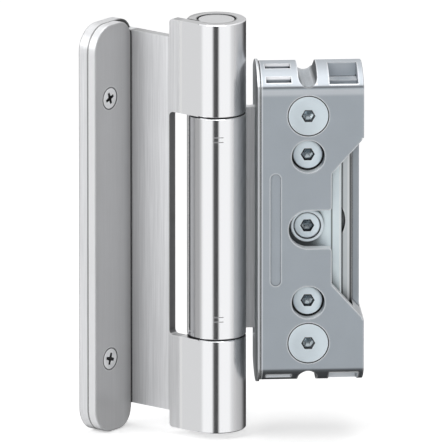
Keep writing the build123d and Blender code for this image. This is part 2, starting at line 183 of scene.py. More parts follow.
class ReceiverFinish(bpy.types.PropertyGroup):
    """The receiver, its slides, its screws and the bearings."""
    casting: colour("Casting", "Colour of the zinc casting", (0.378, 0.417, 0.456))
    casting_roughness: share("Casting roughness", "Roughness of the zinc casting", 0.46)
    sheet: colour("Sheet", "Colour of the coated sheet", (0.46, 0.49, 0.51))
    sheet_roughness: share("Sheet roughness", "Roughness of the coated sheet", 0.42)
    bright_zinc: colour("Bright zinc", "Colour of the large flat screws", (0.67, 0.75, 0.80))
    bright_roughness: share("Bright roughness", "Roughness of the plated pieces", 0.4)
    # Painted light: the recessed plated pieces are a lighter copy of the bright zinc, making up for their shade;
    # the pressure and clamp screws take a slightly darker copy of that
    sunk_zinc: colour("Sunk zinc", "Colour of the plated pieces in the recesses", (0.84, 0.94, 1.0))
    head_zinc: colour("Head zinc", "Colour of the pressure and clamp screws", (0.7644, 0.8554, 0.91))
    slide: colour("Slide", "Colour of the plated slides", (0.65, 0.69, 0.71))
    slide_roughness: share("Slide roughness", "Roughness of the plated slides", 0.36)
    shade_reach: length("Shade reach", "How far the front wall shades the pieces behind it", 0.02)
    bearing: colour("Bearing", "Colour of the bearing plastic", (0.018, 0.018, 0.02))
    fold_height: length("Fold height", "Height at which the arched ends start", 0.0556)
    arch_radius: length("Arch radius", "Radius of the housing's arched ends", 0.0233)
    arch_middle: length("Arch middle", "Height of the arches' centres above mid height", 0.0386)
    arch_depth: length("Arch depth", "From the back to the arches' centres", 0.014)
    face_seam: length("Face seam", "Where the face plate meets the housing", -0.01815)
    bay_edge: length("Bay edge", "Where the side wall meets the slide", 0.0175)
    waist_edge: length("Waist edge", "Where the front wall uncovers the clamp plate", 0.0096)
    clamp_edge: length("Clamp plate edge", "Right edge of the clamp plate", 0.0133)
    wall_front: length("Wall front", "Where the front wall's rounded edges end", -0.0285)
    slot_edge: length("Slot edge", "Right end of the arched ends' slots", -0.0045)
    groove_side: length("Groove side", "Half the width of the arched ends' grooves", 0.0037)
    bay_height: length("Bay height", "Half the height of the open bay", 0.047)
    leaf_height: length("Leaf height", "Half the height of the middle knuckle", 0.044)


class ScrewSizes(bpy.types.PropertyGroup):
    """Screw heads and sockets. Where they stand comes from the CAD nodes."""
    segments: IntProperty(name="Segments", description="Sides of a round head", default=72, min=24, max=144)
    key_size: length("Key size", "Across the flats of the hexagon sockets", 0.0039)
    socket_depth: length("Socket depth", "Depth of the hexagon sockets", 0.0024)
    drill_point: length("Drill point", "Depth of the drill point under a hexagon socket", 0.0011)
    mouth_chamfer: length("Mouth chamfer", "Chamfer at a socket's mouth", 0.0004)
    fixing_chamfer: length("Fixing head edge", "Rounded edge of the large flat heads", 0.00035)
    fixing_head: length("Fixing head height", "Height of the large flat heads", 0.0035)
    fixing_shank: length("Fixing shank", "Radius of the shanks under the large heads", 0.0042)
    stud_radius: length("Stud radius", "Radius of the studs over their thread", 0.004)
    stud_point: length("Stud point", "Chamfer at the studs' ends", 0.0006)
    thread_depth: length("Thread depth", "Depth of the studs' thread", 0.0006)
    thread_pitch: length("Thread pitch", "Pitch of the studs' thread", 0.00125)
    adjuster_radius: length("Adjuster head radius", "Radius of the pressure screws' heads", 0.0056)
    adjuster_chamfer: length("Adjuster edge", "Chamfer of the pressure and clamp heads", 0.0007)
    adjuster_head: length("Adjuster head height", "Height of the pressure screws' heads", 0.004)
    adjuster_shank: length("Adjuster shank", "Radius of the pressure screws' shanks", 0.0035)
    collar_depth: length("Collar depth", "From a pressure screw's face to its collar", 0.00085)
    collar_height: length("Collar height", "Height of the pressure screws' collars", 0.0015)
    tip_gap: length("Tip gap", "Room between a pressure screw's tip and the foremost slide", 0.0001)
    clamp_head: length("Clamp head height", "Height of the clamp screw's head", 0.0025)
    clamp_shank: length("Clamp shank", "Radius of the clamp screw's shank", 0.003)
    cup_rim: length("Cup rim", "From the clamp screw's face to the cup washer's rim", 0.0006)
    cup_gap: length("Cup gap", "Room between the clamp screw's head and the cup washer", 0.00015)
    cup_bore: length("Cup bore", "Radius of the cup washer's hole", 0.0031)
    cup_chamfer: length("Cup chamfer", "Chamfer on the cup washer's rim", 0.0003)
    cover_edge: length("Cover screw edge", "Rounded edge of the cover screws' heads", 0.0004)
    cover_shank: length("Cover screw shank", "Radius of the cover screws' shanks", 0.0019)
    cross_length: length("Cross length", "Length of the cross recess", 0.0047)
    cross_width: length("Cross width", "Width of the cross recess", 0.00105)
    cross_depth: length("Cross depth", "Depth of the cross recess", 0.0017)
    cross_turn_top: angle("Upper cross", "Turn of the upper cover screw's cross", 20)
    cross_turn_bottom: angle("Lower cross", "Turn of the lower cover screw's cross", -16)


class Value:
    """One socket's output, on which Python's arithmetic adds Math nodes."""

    def __init__(self, recipe, socket):
        self.recipe = recipe
        self.socket = socket

    def __add__(self, other):
        return self.recipe.math("ADD", self, other)

    def __sub__(self, other):
        return self.recipe.math("SUBTRACT", self, other)

    def __rsub__(self, other):
        return self.recipe.math("SUBTRACT", other, self)

    def __mul__(self, other):
        return self.recipe.math("MULTIPLY", self, other)

    def __lt__(self, other):
        return self.recipe.math("LESS_THAN", self, other)

    def __gt__(self, other):
        return self.recipe.math("GREATER_THAN", self, other)

    def __abs__(self):
        return self.recipe.math("ABSOLUTE", self)

    __radd__, __rmul__ = __add__, __mul__


class Recipe:
    """A node tree that is being written."""

    def __init__(self, tree):
        self.tree = tree
        tree.nodes.clear()

    def node(self, kind, settings=None, inputs=None, output=0):
        """Add a node: its settings first, then the values or links of its sockets."""
        made = self.tree.nodes.new(kind)
        for name, setting in (settings or {}).items():
            if name == "stops":
                self.stops(made.color_ramp, setting)
            else:
                setattr(made, name, setting)
        for name, value in (inputs or {}).items():
            if isinstance(value, Value):
                self.tree.links.new(value.socket, made.inputs[name])
            else:
                made.inputs[name].default_value = value
        return Value(self, made.outputs[output] if made.outputs else None)

    def stops(self, ramp, stops):
        """Set a ramp's greys, each as (place, brightness)."""
        while len(ramp.elements) < len(stops):
            ramp.elements.new(0.5)
        for element, (place, brightness) in zip(ramp.elements, stops):
            element.position = place
            element.color = (brightness, brightness, brightness, 1.0)

    def math(self, operation, *values):
        """A Math node on numbers and values."""
        return self.node("ShaderNodeMath", {"operation": operation}, dict(enumerate(values)))

    def radius(self, across, along):
        """Distance from an axis."""
        return self.math("SQRT", across * across + along * along)

    def place(self, location=(0, 0, 0), rotation=(0, 0, 0), scale=(1, 1, 1)):
        """Object coordinates, moved, turned and stretched."""
        own = self.node("ShaderNodeTexCoord", output="Object")
        return self.node("ShaderNodeMapping", inputs={
            "Vector": own, "Location": location, "Rotation": rotation, "Scale": scale})

    def stretch(self, vector, factors):
        """A vector times three factors."""
        return self.node("ShaderNodeVectorMath", {"operation": "MULTIPLY"}, {0: vector, 1: factors})

    def axes(self, vector):
        """The three numbers of a vector."""
        split = self.node("ShaderNodeSeparateXYZ", inputs={"Vector": vector}).socket.node
        return [Value(self, split.outputs[axis]) for axis in "XYZ"]

    def ray(self, kind):
        """1 for rays of that kind."""
        return self.node("ShaderNodeLightPath", output="Is " + kind + " Ray")

    def noise(self, vector, size, detail=3.0, roughness=0.55):
        """Noise with grains of that size in metres."""
        return self.node("ShaderNodeTexNoise", inputs={
            "Vector": vector, "Scale": 1.0 / size, "Detail": detail, "Roughness": roughness})

    def step(self, value, low, high):
        """From 0 below low to 1 above high, smoothly."""
        return self.node("ShaderNodeMapRange", {"interpolation_type": "SMOOTHSTEP", "clamp": True},
                         {"Value": value, "From Min": low, "From Max": high})

    def line(self, value, middle, core, reach):
        """1 where a value is within core of the middle, falling to 0 at reach from it."""
        return 1 - self.step(abs(value - middle), core, reach)

    def mix(self, factor, first, second):
        """Mix two colours."""
        return self.node("ShaderNodeMix", {"data_type": "RGBA"}, {0: factor, 6: first, 7: second}, 2)

    def layers(self, colour, *coats):
        """Lay coats over a colour one after another, each as (mask, its colour)."""
        for mask, coat in coats:
            colour = self.mix(mask, colour, coat)
        return colour

    def bump(self, height, depth):
        """A bump of that depth in metres."""
        return self.node("ShaderNodeBump", inputs={"Height": height, "Distance": depth, "Strength": 1.0})

    def near(self, distance, inside=False, samples=4):
        """How much lies within a distance: corners and gaps, or the piece's own edges seen from inside."""
        return 1 - self.node("ShaderNodeAmbientOcclusion",
                             {"samples": samples, "inside": inside, "only_local": inside},
                             {"Distance": distance}, output="AO")

    def facing(self, direction, low=0.5, high=0.8):
        """How far the surface faces a direction."""
        normal = self.node("ShaderNodeTexCoord", output="Normal")
        along = self.node("ShaderNodeVectorMath", {"operation": "DOT_PRODUCT"}, {0: normal, 1: direction},
                          output="Value")
        return self.step(along, low, high)

    def lit_edges_shaded_corners(self, colour, edge_light=0.5, least=0.1):
        """The colour with painted highlights along sharp edges and painted shade in corners and gaps."""
        edges = self.step(self.near(0.0006, inside=True), 0.1, 0.45)
        corners = self.step(self.near(0.0009), least, least + 0.4)
        return self.layers(colour, (edges * edge_light, HIGHLIGHT), (corners * 0.9, DEEP_SHADE))

    def surface(self, **inputs):
        """The Principled shader and the output."""
        shader = self.node("ShaderNodeBsdfPrincipled",
                           inputs={name.replace("_", " "): value for name, value in inputs.items()})
        self.node("ShaderNodeOutputMaterial", inputs={"Surface": shader})


def finish(name):
    """A new material and its recipe."""
    material = bpy.data.materials.new(name)
    material.use_nodes = True
    return material, Recipe(material.node_tree)


def shade(rgb, factor=1.0):
    """A colour made lighter or darker, as a socket wants it."""
    return tuple(min(1.0, channel * factor) for channel in rgb) + (1.0,)


def door_place():
    """Mapping that puts the hinge axis at the origin and the web along local X."""
    turn = Matrix.Rotation(-DOOR_TURN, 3, "Z")
    return {"location": tuple(-(turn @ PIVOT)), "rotation": (0.0, 0.0, -DOOR_TURN)}


def leaf_steel(name, steel, place, polish_edge, has_ticks=False):
    """Brushed steel whose rolled knuckle is polished up to a given distance from the hinge axis.

    The frame leaf has the index ticks and a painted dark reflection band on its middle knuckle, and the door leaf
    all that lies beyond its web with its painted light and shade. Both get painted highlights on sharp edges and
    painted shade in corners."""
    material, recipe = finish(name)
    local = recipe.place(**place)
    x, y, z = recipe.axes(local)
    upright = recipe.stretch(local, UPRIGHT)
    marks = recipe.noise(upright, steel.grain)
    streaks = recipe.noise(upright, steel.grain * 4, 2.0)
    cloud = recipe.noise(local, 0.018, 2.0)
    tone = recipe.step(marks * 0.55 + streaks * 0.45, 0.2, 0.8)
    brushed = recipe.step(x, polish_edge - 0.0001, polish_edge + 0.0001)
    turned = 1 - brushed
    brushed_colour = recipe.mix(tone, shade(steel.brushed, 0.98), shade(steel.brushed, 1.22))
    turned_colour = shade(steel.polished)
    if has_ticks:
        # Painted reflection: a dark band down the front of the middle knuckle
        dark_reflection = recipe.line(x, -steel.reflection_line, 0.0004, 0.0021) * (y < 0.0)
        turned_colour = recipe.mix(dark_reflection * 0.42, turned_colour, BLACK)
    else:
        brushed_colour, turned_colour = door_leaf_colours(
            recipe, steel, (x, y, z), polish_edge, brushed, brushed_colour, turned_colour)
    colour_here = recipe.lit_edges_shaded_corners(recipe.mix(brushed, turned_colour, brushed_colour), 0.35)
    coarse = steel.tongue_roughness if has_ticks else steel.brushed_roughness
    dull = 0.36 if has_ticks else 0.18
    right_side = recipe.step(recipe.axes(recipe.place())[0], PIVOT.x + steel.side_blur,
                             PIVOT.x + steel.side_blur + 0.003)
    rough = (steel.polished_roughness + brushed * (coarse - steel.polished_roughness)
             + (cloud - 0.5) * 0.06 + (marks - 0.5) * 0.08 * brushed + right_side * turned * dull)
    lathe = recipe.noise(recipe.stretch(local, (0.05, 0.05, 1.0)), 0.00025)
    height = marks * brushed + lathe * turned * 0.25
    if has_ticks:
        beside = abs(abs(z) - steel.tick_height)
        ticks = recipe.line(beside, 0.0009, 0.00008, 0.00018) * recipe.line(x, 0.0, 0.0019, 0.002) * (y < 0.0)
        colour_here = recipe.mix(ticks * 0.75, colour_here, SHADOW)
        height = height - ticks * 4.0
    recipe.surface(Base_Color=colour_here, Metallic=1 - brushed * 0.42, Roughness=rough,
                   Normal=recipe.bump(height, 0.000012))
    return material


def door_leaf_colours(recipe, steel, local, polish_edge, brushed, brushed_colour, turned_colour):
    """The door leaf's painted light and shade: a highlight where the polish ends, shade on faces turned back
    towards the knuckle, on the web beside the cover plate, on the base plate's edges and seam, on the tab, the
    lower web and upward faces, and in the gap round the pin's head.
    """
    x, y, z = local
    window_side = (-math.cos(DOOR_TURN), -math.sin(DOOR_TURN), 0.0)
    on_web = x < steel.cover_front
    # Painted highlight: a white line on knuckle and web where the polish ends
    shine = recipe.line(x, polish_edge - 0.0008, 0.0003, 0.0008) * 0.7
    # Painted shade on the web, growing darker towards the cover plate
    foot = recipe.step(x, steel.cover_front - 0.011, steel.cover_front) * (x < steel.cover_front + 0.0005)
    base = recipe.step(x, steel.base_front - 0.0002, steel.base_front)
    back = recipe.step(x, steel.plate_back - 0.0008, steel.plate_back - 0.0002)
    low_web = (1 - recipe.step(z, -0.06, 0.02)) * on_web
    # Painted shade in the gap round the pin's head
    ring = recipe.line(recipe.radius(x, y), steel.bore_edge, 0.00015, 0.0004) * (abs(z) > steel.knuckle_end)
    brushed_colour = recipe.layers(
        brushed_colour, (shine, WHITE),
        # Painted shade on brushed faces turned back towards the knuckle, such as the window's sides
        (recipe.facing(window_side) * brushed * 0.85, (0.03, 0.03, 0.03, 1.0)),
        (foot * 0.38, (0.1, 0.1, 0.1, 1.0)),
        (base * 0.14 + back * 0.5, SHADOW),
        (recipe.line(x, steel.base_front, 0.0002, 0.0006) * 0.8, SHADOW),
        ((x < steel.tab_edge) * 0.2 + low_web * 0.14, SHADOW),
        (recipe.facing(UP, 0.7, 0.95) * on_web * 0.4, SHADOW))
    turned_colour = recipe.layers(
        turned_colour, (shine, WHITE), (ring * 0.8, DARK_SHADE), (recipe.facing(UP, 0.9, 0.98) * 0.2, SHADOW))
    return brushed_colour, turned_colour


def plate_steel(name, steel, place):
    """Brushed steel, its grain upright, the face painted as a darker copy of the edges round it: painted shade."""
    material, recipe = finish(name)
    local = recipe.place(**place)
    x, y, z = recipe.axes(local)
    upright = recipe.stretch(local, UPRIGHT)
    marks = recipe.noise(upright, steel.grain)
    cloud = recipe.noise(local, 0.02, 2.0)
    streaks = marks * 0.5 + recipe.noise(upright, steel.grain * 4, 2.0) * 0.3 + cloud * 0.2
    # Painted shade: the face is a darker copy of the brushed steel of its edges
    tone = steel.cover_tone
    face = recipe.mix(streaks, shade(steel.brushed, 0.88 * tone), shade(steel.brushed, 1.1 * tone))
    edge = recipe.mix(streaks, shade(steel.brushed, 0.94), shade(steel.brushed, 1.06))
    inner_side = 1 - recipe.step(y, steel.cover_near, steel.cover_near + 0.005)
    mixed = recipe.layers(face, (inner_side * 0.3, SHADOW),
                          (recipe.step(x, steel.cover_front + 0.0001, steel.cover_front + 0.0005), edge))
    rough = steel.brushed_roughness + (cloud - 0.5) * 0.08 + (marks - 0.5) * 0.1
    recipe.surface(Base_Color=recipe.lit_edges_shaded_corners(mixed, 0.6), Metallic=0.6, Roughness=rough,
                   Normal=recipe.bump(marks, 0.000012))
    return material


def turned_steel(name, steel, centre):
    """Turned steel with fine rings round an upright axis."""
    material, recipe = finish(name)
    local = recipe.place(location=tuple(-c for c in centre))
    x, y, z = recipe.axes(local)
    radius = recipe.radius(x, y)
    rings = recipe.node("ShaderNodeTexNoise", {"noise_dimensions": "1D"},
                        {"W": radius, "Scale": 1.0 / 0.00035, "Detail": 2.0})
    cloud = recipe.noise(local, 0.006, 2.0)
    # Painted shade: a dark ring on upward faces beyond the pin head's rim radius
    rim = recipe.step(radius, steel.pin_rim, steel.pin_rim + 0.0003) * recipe.facing(UP, 0.9, 0.98)
    mixed = recipe.mix(rings, shade(steel.polished, 0.9), shade(steel.polished, 1.06))
    mixed = recipe.mix(rim * 0.75, mixed, DARK_SHADE)
    recipe.surface(Base_Color=recipe.lit_edges_shaded_corners(mixed, 0.3), Metallic=1.0,
                   Roughness=steel.pin_roughness + (cloud - 0.5) * 0.1, Normal=recipe.bump(rings, 0.00001))
    return material


def cast_zinc(name, rgb, roughness, places, metal):
    """Matt zinc casting or coating with a fine grain and faint clouds, and painted light and shade laid over it.
    """
    material, recipe = finish(name)
    local = recipe.place()
    x, y, z = recipe.axes(local)
    grain = recipe.noise(local, 0.0006, 3.0, 0.6)
    cloud = recipe.noise(local, 0.011, 3.0)
    streaks = recipe.noise(recipe.place(scale=(1.0, 0.05, 1.0)), 0.0009, 2.0)
    sunk = recipe.step(recipe.near(0.004), 0.1, 0.4)
    up, forward = recipe.facing(UP), recipe.facing(FORWARD, 0.8, 0.95)
    fold, front = places.fold_height, y < places.wall_front

    # Arched ends, their slots, and the groove over each, where much of the painted light and shade goes
    end = recipe.step(abs(z), fold, fold + 0.0006)
    slots = end * recipe.step(x, places.slot_edge, places.slot_edge - 0.0015)
    groove = end * (abs(x) < places.groove_side)
    sides = recipe.facing(LEFT, 0.5, 0.9) + recipe.facing(RIGHT, 0.5, 0.9) * 0.8
    low_wall = forward * (z < -fold) * (y > places.wall_front)
    skin = recipe.step(recipe.radius(y + places.arch_depth, z - places.arch_middle),
                       places.arch_radius - 0.0013, places.arch_radius - 0.0008)
    # Painted light: the upper slots' back walls are painted white and lose their metal
    lit = slots * forward * skin * (z > 0.0)

    # Painted shade along the front wall's folds, and a band of painted light under the upper one
    glow = (recipe.step(z, fold - 0.0038, fold - 0.0022) * front
            * (1 - recipe.step(z, fold - 0.0012, fold - 0.0004)))
    fold_shade = (recipe.line(z, fold, 0.0002, 0.0006) + recipe.line(z, -fold, 0.0004, 0.0014) * 1.2) * front

    # Painted shade on the seam to the face plate, on the face plate's own side and on the line between side wall
    # and slide, with a painted highlight beside the seam
    beside = abs(x - places.face_seam)
    face = recipe.facing(LEFT, 0.7, 0.95) * (x < places.face_seam)
    face = face * (0.15 + (abs(z) > places.leaf_height) * 0.2)
    seam = 1 - recipe.step(beside, 0.0002, 0.00045)
    bay = recipe.line(x, places.bay_edge, 0.0003, 0.0008) * (y > -0.02) * (abs(z) < places.bay_height - 0.001)

    mixed = recipe.layers(
        recipe.mix(cloud * 0.6 + grain * 0.4, shade(rgb, 0.92), shade(rgb, 1.08)),
        # Painted light on the arched ends outside their recesses
        (end * (1 - sunk) * 0.22, PALE_LIGHT),
        # Painted shade in the slots' recesses
        (slots * sunk * 0.35, RECESS_SHADE),
        # Painted reflection streaks in the groove, and painted shade on its side walls
        (groove * recipe.step(streaks, 0.45, 0.6) * 0.4, COOL_HIGHLIGHT),
        (groove * sides * 0.85, COOL_SHADOW),
        # Painted light on upward faces in recesses and between the arched ends
        (up * sunk * (1 - slots) * 0.8, HIGHLIGHT),
        (up * (abs(z) < places.bay_height) * 0.8, HIGHLIGHT),
        # Painted shade on downward faces
        (recipe.facing(DOWN, 0.1, 0.6) * 0.88, DARK_SHADE),
        # Painted light on forward faces of the lower arched end behind the wall front
        (low_wall * 0.5, PALE_LIGHT),
        # Painted light on the upper slots' back walls
        (lit * 0.95, (0.98, 0.98, 1.0, 1.0)),
        # Painted light under the upper fold, and painted shade along both folds
        (glow * 0.3, COOL_HIGHLIGHT),
        (fold_shade * 0.65, COOL_SHADOW),
        # Painted highlight beside the seam to the face plate
        (recipe.line(beside, 0.0007, 0.0001, 0.0003) * 0.4, COOL_HIGHLIGHT),
        # Painted shade on the face plate's side, on the seam and on the bay's line
        (face + seam * 0.8 + bay * 0.8, DARK_SHADE))
    recipe.surface(Base_Color=recipe.lit_edges_shaded_corners(mixed, 0.7, 0.2), Metallic=metal * (1 - lit),
                   Roughness=roughness + (cloud - 0.5) * 0.1, Normal=recipe.bump(grain, 0.00003))
    return material


def plated(name, rgb, roughness, shade_reach=0.0, lines=()):
    """Zinc plating on steel: bright, with faint rolled marks and a cloudy bloom.

    With a reach, it is painted darker where what stands before it would shade it, as painted shade. Each line is
    upright, painted shadow when dark and painted highlight when light: (x, half its width, strength, grey)."""
    material, recipe = finish(name)
    local = recipe.place()
    bloom = recipe.noise(local, 0.007, 3.0)
    marks = recipe.noise(recipe.place(scale=(1.0, 1.0, 0.05)), 0.0004)
    mixed = recipe.lit_edges_shaded_corners(recipe.mix(bloom, shade(rgb, 0.96), shade(rgb, 1.04)), 0.6)
    if shade_reach:
        # Painted shade where what stands before the piece would shade it
        below = recipe.step(recipe.near(shade_reach, samples=24), 0.42, 0.72)
        mixed = recipe.mix(below * 0.85, mixed, (0.01, 0.012, 0.015, 1.0))
    x = recipe.axes(local)[0]
    # Painted shadow lines (dark) and painted highlight lines (light), upright
    mixed = recipe.layers(mixed, *[
        (recipe.line(x, place, half * 0.5, half * 1.5) * strength, shade((grey,) * 3))
        for place, half, strength, grey in lines])
    recipe.surface(Base_Color=mixed, Metallic=0.55,
                   Roughness=roughness + (bloom - 0.5) * 0.1 + (marks - 0.5) * 0.04,
                   Normal=recipe.bump(marks, 0.000008))
    return material


def bearing_plastic(name, rgb):
    """Dark moulded plastic with a fine grain."""
    material, recipe = finish(name)
    grain = recipe.noise(recipe.place(), 0.0005)
    mixed = recipe.mix(grain, shade(rgb, 0.8), shade(rgb, 1.3))
    recipe.surface(Base_Color=mixed, Roughness=0.5 + (grain - 0.5) * 0.1, Normal=recipe.bump(grain, 0.00002))
    return material


def screw_plating(name, rgb, roughness):
    """Plating on turned heads, with painted shade in the socket and painted shadow in the gaps, where the mesh's
    own attribute marks them.
    """
    material, recipe = finish(name)
    local = recipe.place()
    bloom = recipe.noise(local, 0.004, 3.0)
    marks = recipe.noise(local, 0.0005)
    socket_shade = recipe.node("ShaderNodeAttribute", {"attribute_name": "socket"}, output="Fac")
    plain = recipe.mix(bloom, shade(rgb, 0.95), shade(rgb, 1.05))
    # The socket's cut faces are smoother and more metallic, and painted darker as painted shade; the darkest marks
    # are painted black as shadow in gaps
    shaded_cut = recipe.step(socket_shade, 0.1, 0.3)
    gap_shadow = recipe.step(socket_shade, 0.35, 0.7) * (0.95 + (marks - 0.5) * 0.2)
    mixed = recipe.layers(recipe.lit_edges_shaded_corners(plain, 0.6), (shaded_cut * 0.3, RECESS_SHADE), (gap_shadow, DEEP_SHADE))
    recipe.surface(Base_Color=mixed, Metallic=0.55 + shaded_cut * 0.45 - gap_shadow * 0.5,
                   Roughness=roughness + (bloom - 0.5) * 0.1 - shaded_cut * 0.16,
                   Normal=recipe.bump(marks, 0.000008))
    return material


def loop_only(geometry):
    """The new points of an extrusion, and the edges of its new loop."""
    points = [part for part in geometry if isinstance(part, bmesh.types.BMVert)]
    own = set(points)
    return points, [part for part in geometry
                    if isinstance(part, bmesh.types.BMEdge) and own.issuperset(part.verts)]


def follow(shape, edges, start, steps, dark=0.0):
    """Carry a loop on through (scale, height) steps, as a lathe tool would go; dark marks the new points for
    painted shade.
    """
    scale, height = start
    points = []
    shade_layer = shape.verts.layers.float["socket"]
    for next_scale, next_height in steps:
        made = bmesh.ops.extrude_edge_only(shape, edges=edges)["geom"]
        points, edges = loop_only(made)
        factor = next_scale / scale
        bmesh.ops.scale(shape, vec=(factor, factor, 1.0), verts=points)
        bmesh.ops.translate(shape, vec=(0.0, 0.0, next_height - height), verts=points)
        for point in points:
            point[shade_layer] = dark
        scale, height = next_scale, next_height
    return points, edges


def shank(shape, edges, start, steps):
    """Carry a loop on to a screw's tip and close it there."""
    bmesh.ops.contextual_create(shape, geom=follow(shape, edges, start, steps)[1])


def close_point(shape, points):
    """Draw a loop's points together into one."""
    middle = sum((point.co for point in points), Vector()) / len(points)
    bmesh.ops.pointmerge(shape, verts=points, merge_co=middle)


def hexagon(shape, across, segments):
    """A hexagon whose sides are divided evenly."""
    made = bmesh.ops.create_circle(shape, segments=6, radius=across / math.sqrt(3),
                                   matrix=Matrix.Rotation(math.pi / 6, 4, "Z"))["verts"]
    edges = list({edge for point in made for edge in point.link_edges})
    bmesh.ops.subdivide_edges(shape, edges=edges, cuts=segments // 6 - 1)
    return list(shape.edges)


def cross(shape, across, width, segments):
    """The outline of a cross recess, its inner corners drawn in a little."""
    half, side = across / 2, width / 2
    inner = side * 1.35
    corners = []
    for turn in range(4):
        spin = Matrix.Rotation(turn * math.pi / 2, 3, "Z")
        corners += [shape.verts.new(spin @ Vector(place)) for place in
                    ((half, -side, 0.0), (half, side, 0.0), (inner, inner, 0.0))]
    edges = [shape.edges.new((corners[i - 1], corners[i])) for i in range(12)]
    bmesh.ops.subdivide_edges(shape, edges=edges, cuts=segments // 12 - 1)
    return list(shape.edges)


def head(shape, mouth, radius, chamfer, segments, recess, edge_dark=0.0):
    """The face of a head round its recess, the recess itself, and the head's edge; returns the loop below.

    Each step of the recess is (scale, height, how dark the painted shade is there); edge_dark paints shade on the
    head's edge."""
    shape.verts.layers.float.new("socket")
    known = set(shape.verts)
    bmesh.ops.create_circle(shape, segments=segments, radius=radius - chamfer)
    rim = [edge for edge in shape.edges if not known.intersection(edge.verts)]
    bmesh.ops.bridge_loops(shape, edges=mouth + rim)
    edges, last = mouth, (1.0, 0.0)
    for scale, height, dark in recess:
        points, edges = follow(shape, edges, last, ((scale, height),), dark)
        last = (scale, height)
    close_point(shape, points)
    soft = chamfer * (1 - math.sqrt(0.5))
    edge = (radius - soft, -soft), (radius, -chamfer)
    return follow(shape, rim, (radius - chamfer, 0.0), edge, edge_dark)[1]


def key_socket(sizes):
    """The steps of a hexagon socket from its mouth to its drill point: scale, height and painted shade."""
    narrow = sizes.key_size / (sizes.key_size + 2 * sizes.mouth_chamfer)
    mouth, low = sizes.mouth_chamfer, -sizes.socket_depth
    return ((0.985, -LIP, 1.0), (narrow, -mouth, 1.0), (narrow, -mouth * 2, 1.0),
            (narrow * 0.99, -mouth * 3, 0.3), (narrow * 0.98, low, 0.3),
            (narrow * 0.05, low - sizes.drill_point, 0.3))


def cross_recess(sizes):
    """The steps of a cross recess from its mouth to its tip: scale, height and painted shade."""
    low = -sizes.cross_depth
    return (0.98, -LIP, 1.0), (0.86, -sizes.mouth_chamfer, 1.0), (0.4, low + 0.0003, 0.8), (0.02, low, 0.8)


def key_head(shape, sizes, radius, chamfer):
    """A head with a hexagon socket; returns the loop below its edge."""
    mouth = hexagon(shape, sizes.key_size + 2 * sizes.mouth_chamfer, sizes.segments)
    return head(shape, mouth, radius, chamfer, sizes.segments, key_socket(sizes))


def cup(shape, bore, inner, outer, floor, height, chamfer, segments):
    """A cup washer round local Z, standing on z = 0."""
    shape.verts.layers.float.new("socket")
    bmesh.ops.create_circle(shape, segments=segments, radius=outer)
    first = list(shape.edges)
    last = follow(shape, first, (outer, 0.0), (
        (outer, height - chamfer), (outer - chamfer, height), (inner + chamfer / 2, height),
        (inner, height - chamfer / 2), (inner, floor), (bore, floor), (bore, 0.0)))[1]
    bmesh.ops.bridge_loops(shape, edges=first + last)


def thread(shape, radius, depth, pitch, low, high, steps=24):
    """A helical thread round Z between two heights, on its own core."""
    turns = int((high - low) / pitch) - 1
    root = radius - depth
    profile = [shape.verts.new((root, 0.0, low)), shape.verts.new((radius, 0.0, low + pitch / 2)),
               shape.verts.new((root, 0.0, low + pitch))]
    edges = [shape.edges.new(profile[:2]), shape.edges.new(profile[1:])]
    shape.faces.new(profile)
    made = bmesh.ops.spin(shape, geom=profile + edges, cent=(0, 0, 0), axis=(0, 0, 1),
                          dvec=(0, 0, pitch / steps), angle=2 * math.pi * turns, steps=steps * turns,
                          use_merge=False)["geom_last"]
    shape.faces.new([part for part in made if isinstance(part, bmesh.types.BMVert)])


def piece(name, shape, matrix, material, body, replaced):
    """A finished mesh, put in its place, riding on its body and standing for its CAD node."""
    bmesh.ops.remove_doubles(shape, verts=shape.verts, dist=1e-7)
    bmesh.ops.recalc_face_normals(shape, faces=shape.faces)
    bmesh.ops.transform(shape, matrix=matrix, verts=shape.verts)
    for face in shape.faces:
        face.smooth = True
    mesh = bpy.data.meshes.new(name)
    shape.to_mesh(mesh)
    shape.free()
    mesh.set_sharp_from_angle(angle=math.radians(28))
    mesh.materials.append(material)
    made = bpy.data.objects.new(name, mesh)
    bpy.context.scene.collection.objects.link(made)
    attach(made, body)
    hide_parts(replaced)


def in_front(end, other):
    """Local Z towards the front of the receiver, along a box's middle and starting from that end of it."""
    return (Matrix.Translation(((end.x + other.x) / 2, end.y, (end.z + other.z) / 2))
            @ Matrix.Rotation(math.pi / 2, 4, "X"))


def dress(material, *names):
    """Give CAD nodes their material."""
    for name in names:
        slots = NODES[name].data.materials
        slots.clear()
        slots.append(material)


